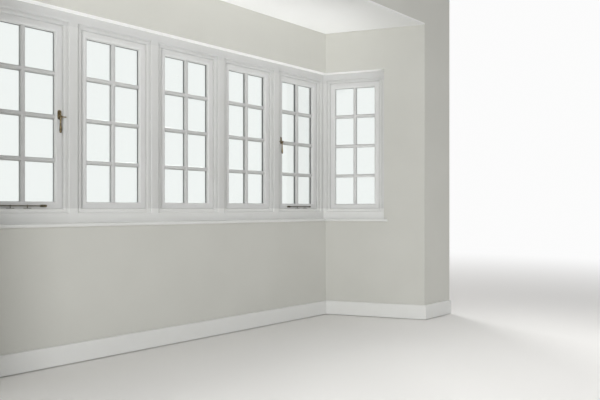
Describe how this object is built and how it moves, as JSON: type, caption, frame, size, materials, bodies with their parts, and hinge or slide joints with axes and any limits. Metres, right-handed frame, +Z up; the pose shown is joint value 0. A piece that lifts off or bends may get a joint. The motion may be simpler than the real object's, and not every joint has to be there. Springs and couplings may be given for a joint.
{
  "type": "three-sided bay window with canted sides",
  "caption": "Bay window seen from the room: a row of small-paned timber lights over a window board, turning back to the house wall through canted sides, under a hipped roof.",
  "frame": {"origin": "ground level, in the middle of the box round the whole part", "axes": "+X to the right seen from the room, +Y outwards to the street, +Z up"},
  "size_m": [4.2394, 1.209, 2.9998],
  "materials": {
    "plaster": "matt painted plaster",
    "ceiling_paint": "matt white ceiling paint",
    "brick": "weathered facing brick with lime mortar",
    "sill_stone": "smooth cast stone",
    "white_paint": "satin white paint on timber",
    "glass": "clear",
    "brass": "aged brass",
    "roof_tile": "plain clay tiles",
    "dark_timber": "dark brown stain"
  },
  "bodies": {
    "root": {"inner_wall_front": "plaster", "inner_wall_left": "plaster", "inner_wall_right": "plaster", "outer_wall_front": "brick", "outer_wall_left": "brick", "outer_wall_right": "brick", "pier_left": "plaster", "pier_right": "plaster", "house_wall": "plaster", "upper_wall_front": "plaster", "upper_wall_left": "plaster", "upper_wall_right": "plaster", "ceiling": "ceiling_paint", "window_board_front": "white_paint", "window_board_left": "white_paint", "window_board_right": "white_paint", "stone_sill_front": "sill_stone", "stone_sill_left": "sill_stone", "stone_sill_right": "sill_stone", "frame_sill_front": "white_paint", "frame_sill_left": "white_paint", "frame_sill_right": "white_paint", "frame_head_front": "white_paint", "frame_head_left": "white_paint", "frame_head_right": "white_paint", "corner_posts": "white_paint", "end_posts": "white_paint", "mullions": "white_paint", "casement_left": "white_paint", "casement_right": "white_paint", "fixed_sash_1": "white_paint", "fixed_sash_2": "white_paint", "fixed_sash_3": "white_paint", "side_sash_left": "white_paint", "side_sash_right": "white_paint", "glass": "glass", "fasteners": "brass", "stays": "brass", "skirting": "white_paint", "roof_front": "roof_tile", "roof_left": "roof_tile", "roof_right": "roof_tile", "eaves_front": "dark_timber", "eaves_left": "dark_timber", "eaves_right": "dark_timber"}
  },
  "joints": []
}
